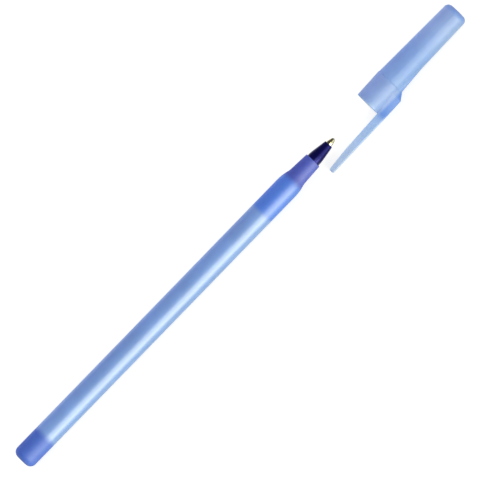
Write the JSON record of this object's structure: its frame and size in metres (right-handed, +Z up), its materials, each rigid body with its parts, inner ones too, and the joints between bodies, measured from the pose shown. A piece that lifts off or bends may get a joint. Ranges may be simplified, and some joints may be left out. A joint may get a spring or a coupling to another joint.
{
  "type": "stick ballpoint pen",
  "caption": "Slim round stick ballpoint pen with a frosted translucent barrel, dark nose cone and brass point, and a tapered cap with a side clip that pulls straight off.",
  "frame": {"origin": "centre of the tail end's flat, on the pen's axis", "axes": "+X along the pen's axis from the tail to the writing point and the cap, +Z up with the pen lying on its side, the clip pointing down and towards -Y"},
  "size_m": [0.1954, 0.0118, 0.0094],
  "materials": {
    "barrel_plastic": "frosted translucent moulding",
    "plug_plastic": "satin moulding",
    "nose_plastic": "glossy moulding",
    "point_brass": "turned",
    "ball_carbide": "lapped",
    "tube_plastic": "extruded, translucent",
    "ink": "paste ink",
    "grease": "clear grease",
    "cap_plastic": "frosted translucent moulding"
  },
  "bodies": {
    "pen": {"barrel": "barrel_plastic", "end_plug": "plug_plastic", "nose_cone": "nose_plastic", "point_body": "point_brass", "ink_tube": "tube_plastic", "ink_column": "ink", "ink_follower": "grease"},
    "cap": {"cap": "cap_plastic"},
    "ball": {"writing_ball": "ball_carbide"}
  },
  "joints": [
    {"name": "cap_pull", "type": "slide", "parent": "pen", "child": "cap", "axis": [1, 0, 0], "range_m": [-0.0474, 0]},
    {"name": "ball_roll", "type": "hinge", "parent": "pen", "child": "ball", "pos_m": [0.1396, 0, 0], "axis": [0, 1, 0], "continuous": true}
  ]
}
